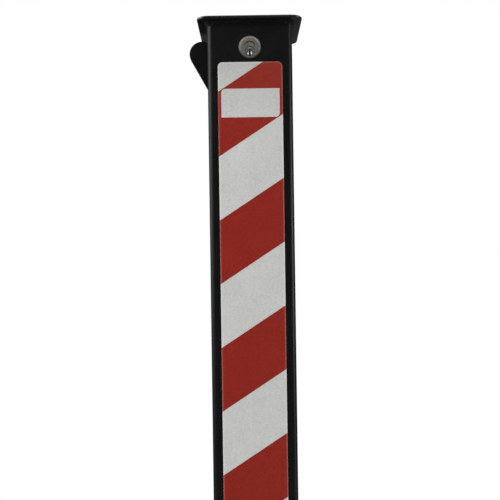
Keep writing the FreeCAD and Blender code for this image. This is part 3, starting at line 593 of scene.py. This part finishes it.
# %% [markdown]
# ## The weld under the lid
# The lid is held by a hand-laid weld: a hollow bead with ripples, thicker at the corners where the welder
# slows down. A cross-section is swept round the post with spin, which both runs it straight along a side
# and turns it round a corner. Noise then moves every point of the bead in or out, so that no two ripples
# are alike, and the bead hangs lower at the left corners. A few drops of spatter, small spheres of bare
# steel half sunk in the paint, have stuck near the front corners.

# %% Sweep the bead round the post
POST_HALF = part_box("post_tube")[1].x
POST_CORNER = 8 * MM
POST_RUN = POST_HALF - POST_CORNER
WELD_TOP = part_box("lid_weld")[1].z
WELD_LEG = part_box("lid_weld")[1].x - POST_HALF
WELD_SECTION = ((0, 0), (1.0, 0), (0.66, 0.17), (0.40, 0.36), (0.22, 0.60), (0.12, 0.98), (0, 1.0))
SIDE_STEPS = 56
CORNER_STEPS = 12


def sweep_bead():
    """Sweep the section along each side of the post and round the corner after it."""
    build = bmesh.new()
    ring = [build.verts.new((-POST_RUN, -POST_HALF - out * WELD_LEG, WELD_TOP - down * WELD_LEG))
            for out, down in WELD_SECTION]
    section = ring + [build.edges.new((ring[i - 1], ring[i])) for i in range(len(ring))]
    for side in range(4):
        quarter = Matrix.Rotation(side * math.pi / 2, 3, "Z")
        along = quarter @ Vector((2 * POST_RUN / SIDE_STEPS, 0, 0))
        section = bmesh.ops.spin(build, geom=section, cent=(0, 0, 0), axis=(0, 0, 1), dvec=along,
                                 angle=0, steps=SIDE_STEPS)["geom_last"]
        section = bmesh.ops.spin(build, geom=section, cent=quarter @ Vector((POST_RUN, -POST_RUN, 0)),
                                 axis=(0, 0, 1), angle=math.pi / 2, steps=CORNER_STEPS)["geom_last"]
    bmesh.ops.remove_doubles(build, verts=build.verts, dist=CLOSE)
    bmesh.ops.recalc_face_normals(build, faces=build.faces)
    return build


# %% Give the bead its ripples
THIN_SHARE = 0.55
CORNER_SHARE = 0.43
CORNER_POWER = 6
RIPPLE_SHARE = 0.05
RIPPLE_PITCH = 3.1 * MM
WANDER_SHARE = 0.12
WANDER_SIZE = 7 * MM
SAG = 0.28


def out_of_post(spot):
    """The nearest point on the post's outline, and how far outside it a spot lies."""
    core = Vector([max(-POST_RUN, min(POST_RUN, value)) for value in spot.xy])
    reach = spot.xy - core
    return core + reach.normalized() * POST_CORNER, reach.length - POST_CORNER


def ripple_bead(build):
    """Draw every point in to a share of the full leg: most on the sides, least at the corners."""
    for vert in build.verts:
        wall, out = out_of_post(vert.co)
        down = WELD_TOP - vert.co.z
        corner = (min(abs(vert.co.x), abs(vert.co.y)) / POST_HALF) ** CORNER_POWER
        share = THIN_SHARE + CORNER_SHARE * corner
        share += RIPPLE_SHARE * math.sin(2 * math.pi * (vert.co.x + vert.co.y) / RIPPLE_PITCH)
        share += WANDER_SHARE * noise.noise(vert.co / WANDER_SIZE)
        share = min(share, 1)
        outwards = (vert.co.xy - wall).normalized()
        spot = wall + outwards * max(out, 0) * share
        sag = 1 - SAG * math.copysign(corner, vert.co.x)
        vert.co = (spot.x, spot.y, WELD_TOP - down * sag * share)
    return build


# %% Add the drops of spatter
SPATTER = ((-43.1, -50.2, 3.6, 0.8), (42.4, -50.3, 2.6, 0.9), (47.7, -47.8, 6.6, 1.0))


def add_spatter(build):
    """Place a drop by its x, y, distance below the lid and radius, in millimetres."""
    bead = set(build.faces)
    for x, y, below, radius in SPATTER:
        place = Vector((x * MM, y * MM, WELD_TOP - below * MM))
        bmesh.ops.create_uvsphere(build, u_segments=16, v_segments=10, radius=radius * MM,
                                  matrix=Matrix.Translation(place))
    for face in set(build.faces) - bead:
        face.material_index = 1
    finish_piece("weld_bead", build, (DRY_PAINT, SPRING_STEEL), "post", ["lid_weld"])


add_spatter(ripple_bead(sweep_bead()))

# %% [markdown]
# ## The red print
# Ink lies on the film in slanted stripes, and a bare panel is left in the first one. A flat sheet with the
# film's outline is sliced along the edge of every stripe, and the white stripes are thrown away. The first
# red stripe keeps only its outline, which triangles then fill round the panel's own outline. Extruding
# gives the ink its thickness.

# %% Slice the sheet into stripes
INK_LOW, INK_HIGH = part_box("red_stripes")
INK_MARGIN = 0.1 * MM
CUT_WIDTH = 0.001 * MM
SLANT = math.radians(33)
FIRST_EDGE = 9.8 * MM
SECOND_EDGE = 85.9 * MM
STRIPE_PITCH = 74.6 * MM
FULL_STRIPES = 8
STRIPE_EDGES = [FIRST_EDGE, *(SECOND_EDGE + STRIPE_PITCH * count for count in range(FULL_STRIPES))]


def flat_sheet(build, left, right, bottom, top):
    """One face that looks to the front, at the back of the ink; returns its corners."""
    middle = Vector(((left + right) / 2, INK_HIGH.y, (bottom + top) / 2))
    shape = (Matrix.Translation(middle) @ Matrix.Rotation(math.pi / 2, 4, "X")
             @ Matrix.Diagonal((right - left, top - bottom, 1, 1)))
    return bmesh.ops.create_grid(build, x_segments=1, y_segments=1, size=0.5, matrix=shape)["verts"]


def round_corners(build, corners, radius):
    """Round these corners of a flat face."""
    bmesh.ops.bevel(build, geom=corners, offset=radius, offset_type="OFFSET", affect="VERTICES", segments=8,
                    profile=0.5, material=-1)


def stripe_number(face):
    """How many stripe edges lie above a face: 0 is the white top, 1 the first red stripe."""
    spot = face.calc_center_median()
    below = FILM_HIGH.z + math.tan(SLANT) * spot.x - spot.z
    return sum(edge < below for edge in STRIPE_EDGES)


def slice_stripes():
    """Cut the sheet along every edge and keep the red stripes."""
    build = bmesh.new()
    corners = flat_sheet(build, FILM_LOW.x + INK_MARGIN, FILM_HIGH.x - INK_MARGIN, FILM_LOW.z + INK_MARGIN,
                         FILM_HIGH.z - INK_MARGIN)
    round_corners(build, corners, FILM_CORNER - INK_MARGIN)
    for edge in STRIPE_EDGES:
        bmesh.ops.bisect_plane(build, geom=[*build.verts, *build.edges, *build.faces], dist=CUT_WIDTH,
                               plane_co=(0, 0, FILM_HIGH.z - edge),
                               plane_no=(-math.sin(SLANT), 0, math.cos(SLANT)))
    white = [face for face in build.faces if stripe_number(face) % 2 == 0]
    bmesh.ops.delete(build, geom=white, context="FACES")
    return build


# %% Leave the panel bare and thicken the ink
PANEL_HALF = 34.25 * MM
PANEL_TOP = 31.0 * MM
PANEL_BOTTOM = 64.7 * MM
PANEL_CORNER = 5.0 * MM


def leave_panel(build):
    """Fill the first stripe again round the panel, which has two round corners and two square ones."""
    corners = flat_sheet(build, -PANEL_HALF, PANEL_HALF, FILM_HIGH.z - PANEL_BOTTOM, FILM_HIGH.z - PANEL_TOP)
    middle = FILM_HIGH.z - (PANEL_TOP + PANEL_BOTTOM) / 2
    round_corners(build, [vert for vert in corners if vert.co.x * (vert.co.z - middle) < 0], PANEL_CORNER)
    first = [face for face in build.faces if stripe_number(face) == 1]
    bmesh.ops.delete(build, geom=first, context="FACES_ONLY")
    outlines = [edge for edge in build.edges if edge.is_wire]
    bmesh.ops.triangle_fill(build, edges=outlines, use_beauty=True, normal=(0, -1, 0))
    return build


def thicken_ink(build):
    """Extrude the sheet forwards, to the front of the ink."""
    raised = bmesh.ops.extrude_face_region(build, geom=build.faces[:])["geom"]
    front = [item for item in raised if isinstance(item, bmesh.types.BMVert)]
    bmesh.ops.translate(build, vec=(0, INK_LOW.y - INK_HIGH.y, 0), verts=front)
    bmesh.ops.recalc_face_normals(build, faces=build.faces)
    finish_piece("stripes", build, (RED_PRINT,), "post", ["red_stripes"])


thicken_ink(leave_panel(slice_stripes()))

# %% [markdown]
# ## The key plug
# The round plug sits low in the lock's face. Its upright keyway starts in a hollow, whose slope leads the key
# in and throws back the two bright spots that are seen in a lock. Plug and hollow are profiles turned with
# spin about two axes, and triangles fill the flat between their rims; planes then slice out the keyway's
# outline, wider at its foot, and its edge is extruded inwards. The inside of the keyway is painted shade:
# those faces get a near-black finish of their own.

# %% Turn the plug
PLUG_LOW, PLUG_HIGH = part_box("lock_plug")
PLUG_MIDDLE = (PLUG_LOW + PLUG_HIGH) / 2
PLUG_FRONT = PLUG_LOW.y
PLUG_RADIUS = (PLUG_HIGH - PLUG_LOW).x / 2
PLUG_SHAFT = 5.0 * MM
PLUG_STEP = 2.5 * MM
PLUG_BEVEL = 0.35 * MM
BEVEL_BULGE = 0.3 * PLUG_BEVEL
TAIL_HALF = 3.0 * MM
TAIL_LENGTH = 3.0 * MM
KEY_DROP = 1.2 * MM
KEY_MIDDLE = PLUG_MIDDLE - Vector((0, 0, KEY_DROP))
HOLLOW_DROP = 0.6 * MM
HOLLOW_MIDDLE = PLUG_MIDDLE - Vector((0, 0, HOLLOW_DROP))
HOLLOW = ((3.3, 0), (3.15, 0.08), (2.75, 0.2), (2.35, 0.39), (2.05, 0.61), (1.55, 0.95), (0.8, 1.5),
          (0.3, 1.8), (0, 1.88))
TURN_STEPS = 64


def turn(build, middle, profile):
    """Spin a profile of (distance from the axis, depth behind the front) round an axis along Y."""
    line = [build.verts.new((0, PLUG_FRONT + depth, middle.z + away)) for away, depth in profile]
    section = line + [build.edges.new(pair) for pair in zip(line, line[1:])]
    bmesh.ops.spin(build, geom=section, cent=middle, axis=(0, 1, 0), angle=2 * math.pi, steps=TURN_STEPS,
                   use_merge=True)


def turn_plug():
    """Turn the plug and, about a lower axis, its hollow; a flat front joins their two rims."""
    length = PLUG_HIGH.y - PLUG_FRONT - TAIL_LENGTH
    build = bmesh.new()
    turn(build, PLUG_MIDDLE, ((PLUG_RADIUS - PLUG_BEVEL, 0), (PLUG_RADIUS - BEVEL_BULGE, BEVEL_BULGE),
                              (PLUG_RADIUS, PLUG_BEVEL), (PLUG_RADIUS, PLUG_STEP), (PLUG_SHAFT, PLUG_STEP),
                              (PLUG_SHAFT, length), (0, length)))
    turned = set(build.faces)
    turn(build, HOLLOW_MIDDLE, [(away * MM, depth * MM) for away, depth in HOLLOW])
    for face in set(build.faces) - turned:
        face.material_index = 2
    bmesh.ops.remove_doubles(build, verts=build.verts, dist=CUT_WIDTH)
    bmesh.ops.triangle_fill(build, edges=[edge for edge in build.edges if edge.is_boundary], use_beauty=True,
                            normal=(0, -1, 0))
    bmesh.ops.recalc_face_normals(build, faces=build.faces)
    return build


# %% Cut the keyway
KEY_HALF = 0.85 * MM
KEY_TOP = 4.2 * MM
KEY_FOOT_HALF = 1.25 * MM
KEY_FOOT_TOP = -1.9 * MM
KEY_BOTTOM = -4.2 * MM
KEY_DEPTH = 9.0 * MM
FRONT_DEPTH = 4 * MM


def slice_build(build, axis, away):
    """Cut every face along a plane this far from the middle of the keyway."""
    bmesh.ops.bisect_plane(build, geom=[*build.verts, *build.edges, *build.faces], dist=CUT_WIDTH,
                           plane_co=KEY_MIDDLE + away * axis, plane_no=axis)


def in_keyway(face):
    """Whether a face of the plug's front or hollow lies within the keyway's outline."""
    spot = face.calc_center_median() - KEY_MIDDLE
    half = KEY_FOOT_HALF if spot.z < KEY_FOOT_TOP else KEY_HALF
    near_front = face.calc_center_median().y < PLUG_FRONT + FRONT_DEPTH
    return near_front and abs(spot.x) < half and KEY_BOTTOM < spot.z < KEY_TOP


def cut_keyway(build):
    """Open the keyway and give it walls and a bottom in painted shade, a near-black finish."""
    for half in (KEY_HALF, -KEY_HALF, KEY_FOOT_HALF, -KEY_FOOT_HALF):
        slice_build(build, Vector((1, 0, 0)), half)
    for level in (KEY_TOP, KEY_FOOT_TOP, KEY_BOTTOM):
        slice_build(build, Vector((0, 0, 1)), level)
    bmesh.ops.delete(build, geom=[face for face in build.faces if in_keyway(face)], context="FACES")
    mouth = [edge for edge in build.edges if edge.is_boundary]
    inside = bmesh.ops.extrude_edge_only(build, edges=mouth)["geom"]
    for vert in (item for item in inside if isinstance(item, bmesh.types.BMVert)):
        vert.co.y = PLUG_FRONT + KEY_DEPTH
    bottom = bmesh.ops.holes_fill(build, edges=[edge for edge in build.edges if edge.is_boundary])["faces"]
    # The keyway's inside gets the near-black finish: painted shade.
    for face in [*bottom, *(item for item in inside if isinstance(item, bmesh.types.BMFace))]:
        face.material_index = 1
    bmesh.ops.recalc_face_normals(build, faces=build.faces)
    return build


# %% Add the plug's square tail
def add_tail(build):
    """Add the square that drives the crank."""
    shape = (Matrix.Translation((0, PLUG_HIGH.y - TAIL_LENGTH / 2, PLUG_MIDDLE.z))
             @ Matrix.Diagonal((2 * TAIL_HALF, TAIL_LENGTH, 2 * TAIL_HALF, 1)))
    bmesh.ops.create_cube(build, size=1.0, matrix=shape)
    finish_piece("key_plug", build, (NICKEL_PLUG, KEYWAY_SHADE, POLISHED_NICKEL), "key_plug",
                 ["lock_plug"])


add_tail(cut_keyway(turn_plug()))

# %% [markdown]
# ## The studio
# The backdrop is white to the camera. What the black paint mirrors is set apart from what lights it: the
# world gives all surfaces an even light, while its reflections show a dark room with a broad panel on the
# left, a low narrow one on the right, one overhead and a paler ground. That keeps the front black and draws
# a bright line down each corner.

# %% World
FILL_LEVEL = 0.62
ROOM = (0.050, 0.052, 0.053)
BACK_WALL = (0.10, 0.10, 0.10)
LEFT_GLOW = (0.18, 0.18, 0.18)
LEFT_PANEL = (1.78, 1.82, 1.84)
RIGHT_GLOW = (0.48, 0.47, 0.45)
RIGHT_PANEL = (2.9, 2.8, 2.65)
TOP_PANEL = (1.0, 1.0, 0.98)
GROUND = (0.20, 0.19, 0.17)
BACK_REACH = (0.45, 0.85)
# Each panel has a colour, a bearing towards the left and a height, as start, full, fade and end in degrees.
PANELS = ((LEFT_GLOW, (48, 86, 104, 126), (-50, -40, 0, 8)),
          (LEFT_PANEL, (48, 86, 104, 126), (-9, 7, 50, 70)),
          (RIGHT_GLOW, (-97, -88, -78, -62), (-50, -40, 35, 50)),
          (RIGHT_PANEL, (-97, -88, -78, -62), (-9, -1, 8, 13)),
          (TOP_PANEL, (-70, -55, 55, 70), (26, 36, 56, 66)),
          (GROUND, (-90, -70, 70, 90), (-84, -76, -30, -22)))


def band(tree, value, start, full, fade, end):
    """1 between full and fade, falling off to 0 at start and end, in degrees."""
    rise = spread(tree, value, 0, 1, math.radians(start), math.radians(full))
    fall = spread(tree, value, 1, 0, math.radians(fade), math.radians(end))
    return arithmetic(tree, "MULTIPLY", rise, fall)


def build_world():
    """White to the camera, the panels to reflections and an even light to all else."""
    world = bpy.data.worlds.new("studio")
    world.use_nodes = True
    bpy.context.scene.world = world
    tree = world.node_tree
    sight = tree.nodes.new("ShaderNodeTexCoord")
    split = tree.nodes.new("ShaderNodeSeparateXYZ")
    tree.links.new(sight.outputs["Generated"], split.inputs["Vector"])
    left = arithmetic(tree, "MULTIPLY", split.outputs["X"], -1.0)
    front = arithmetic(tree, "MULTIPLY", split.outputs["Y"], -1.0)
    bearing = arithmetic(tree, "ARCTAN2", left, front)
    height = arithmetic(tree, "ARCSINE", split.outputs["Z"])
    behind = spread(tree, split.outputs["Y"], 0, 1, *BACK_REACH)
    mirrored = blend_colours(tree, behind, ROOM, BACK_WALL)
    for colour, across, upward in PANELS:
        panel = arithmetic(tree, "MULTIPLY", band(tree, bearing, *across), band(tree, height, *upward))
        mirrored = blend_colours(tree, panel, mirrored, colour)
    ray = tree.nodes.new("ShaderNodeLightPath")
    seen = blend_colours(tree, ray.outputs["Is Glossy Ray"], (FILL_LEVEL,) * 3, mirrored)
    seen = blend_colours(tree, ray.outputs["Is Camera Ray"], seen, (1, 1, 1))
    tree.links.new(seen, tree.nodes["Background"].inputs["Color"])


build_world()
print("world: even light", FILL_LEVEL, "and", len(PANELS), "mirrored panels")

# %% [markdown]
# ## Lamps and floor
# Three large soft lamps model the form a little: a key from the front left, a weaker fill from the right
# and one from behind. They are hidden from reflections, because a mirror image of a lamp would wash out the
# paint. The floor is a pale disc under the sleeve that fades to white at its edge.

# %% Lamps
AIM = Vector((0, 0, 0.35))


def soft_lamp(name, place, across, watts):
    """A round lamp this many metres across that shines on the post."""
    light = bpy.data.lights.new(name, "AREA")
    light.shape = "DISK"
    light.size = across
    light.energy = watts
    lamp = bpy.data.objects.new(name, light)
    lamp.location = place
    lamp.rotation_euler = (AIM - Vector(place)).to_track_quat("-Z", "Y").to_euler()
    lamp.visible_glossy = False
    bpy.context.scene.collection.objects.link(lamp)
    print(name, watts, "W")


soft_lamp("key lamp", (-1.1, -1.9, 1.2), 1.0, 26)
soft_lamp("fill lamp", (1.6, -1.5, 0.6), 1.2, 8)
soft_lamp("back lamp", (0.4, 2.2, 1.6), 1.2, 18)

# %% Floor
FLOOR_RADIUS = 2.5
FLOOR_CLEAR = 0.9
FLOOR_GREY = (0.80, 0.80, 0.80, 1)


def make_floor_paint():
    """Pale paint that fades to white for the camera, from the clear middle to the rim."""
    finish, tree, shader = new_finish("studio floor", Base_Color=FLOOR_GREY, Roughness=0.9,
                                      Specular_IOR_Level=0.1)
    away = tree.nodes.new("ShaderNodeVectorMath")
    away.operation = "LENGTH"
    tree.links.new(place_on_piece(tree), away.inputs[0])
    fade = spread(tree, away.outputs["Value"], 0, 1, FLOOR_CLEAR, FLOOR_RADIUS)
    white = tree.nodes.new("ShaderNodeEmission")
    mix = tree.nodes.new("ShaderNodeMixShader")
    ray = tree.nodes.new("ShaderNodeLightPath")
    tree.links.new(arithmetic(tree, "MULTIPLY", fade, ray.outputs["Is Camera Ray"]), mix.inputs["Fac"])
    tree.links.new(shader.outputs["BSDF"], mix.inputs[1])
    tree.links.new(white.outputs["Emission"], mix.inputs[2])
    tree.links.new(mix.outputs["Shader"], tree.nodes["Material Output"].inputs["Surface"])
    return finish


def lay_floor():
    """A disc under the sleeve's foot."""
    build = bmesh.new()
    bmesh.ops.create_circle(build, cap_ends=True, segments=96, radius=FLOOR_RADIUS)
    bmesh.ops.translate(build, vec=(0, 0, cad_box[0].z), verts=build.verts)
    mesh = bpy.data.meshes.new("floor")
    build.to_mesh(mesh)
    build.free()
    floor = bpy.data.objects.new("floor", mesh)
    bpy.context.scene.collection.objects.link(floor)
    mesh.materials.append(make_floor_paint())
    floor.visible_glossy = False


lay_floor()
print("floor at", round(cad_box[0].z, 4))

# %% [markdown]
# ## Camera
# The photograph was taken from the front, a little below the lid, with the camera turned by under one
# degree, so that the post leans to the left. The picture shows the upper part of the raised post.

# %% Camera
camera = bpy.data.objects.new("camera", bpy.data.cameras.new("camera"))
camera.data.lens = 56.0
camera.location = (-0.003, -0.960, 0.4214)
camera.rotation_euler = (math.pi / 2, math.radians(0.806), 0)
bpy.context.scene.collection.objects.link(camera)
bpy.context.scene.camera = camera
bpy.context.scene.view_settings.view_transform = "Standard"
print("camera lens", camera.data.lens, "mm")
